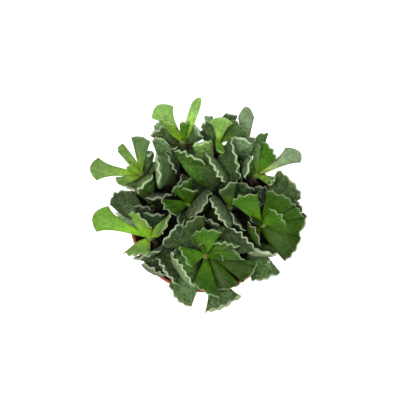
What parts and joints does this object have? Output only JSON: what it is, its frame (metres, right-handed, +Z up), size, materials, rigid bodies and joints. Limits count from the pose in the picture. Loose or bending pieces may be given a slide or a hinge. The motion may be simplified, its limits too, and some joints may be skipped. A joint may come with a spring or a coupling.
{
  "type": "potted succulent",
  "caption": "Round tapered nursery pot of crinkle-leaf succulent: crowded leafy shoots with thick wavy-edged leaves over dark soil.",
  "frame": {"origin": "centre of the pot's underside, on the pot's axis", "axes": "+Z up along the pot's axis; +Y away from the viewer, towards the narrow upright leaf at the top of the picture; +X right"},
  "size_m": [0.1413, 0.1399, 0.135],
  "materials": {
    "pot": "satin terracotta-coloured plastic",
    "soil": "rough, dark potting soil",
    "leaf": "soft sheen, thick living leaf"
  },
  "bodies": {
    "root": {"pot": "pot", "soil": "soil", "shoot_bottom": "leaf", "shoot_right": "leaf", "shoot_right_upper": "leaf", "shoot_top_right": "leaf", "shoot_top_centre": "leaf", "shoot_top": "leaf", "shoot_left_upper": "leaf", "shoot_left_lower": "leaf", "shoot_left": "leaf", "shoot_middle_left": "leaf", "shoot_inner_left": "leaf", "shoot_inner_top": "leaf", "shoot_middle": "leaf", "shoot_middle_right": "leaf", "shoot_lower_right": "leaf", "shoot_lower_left": "leaf"}
  },
  "joints": []
}
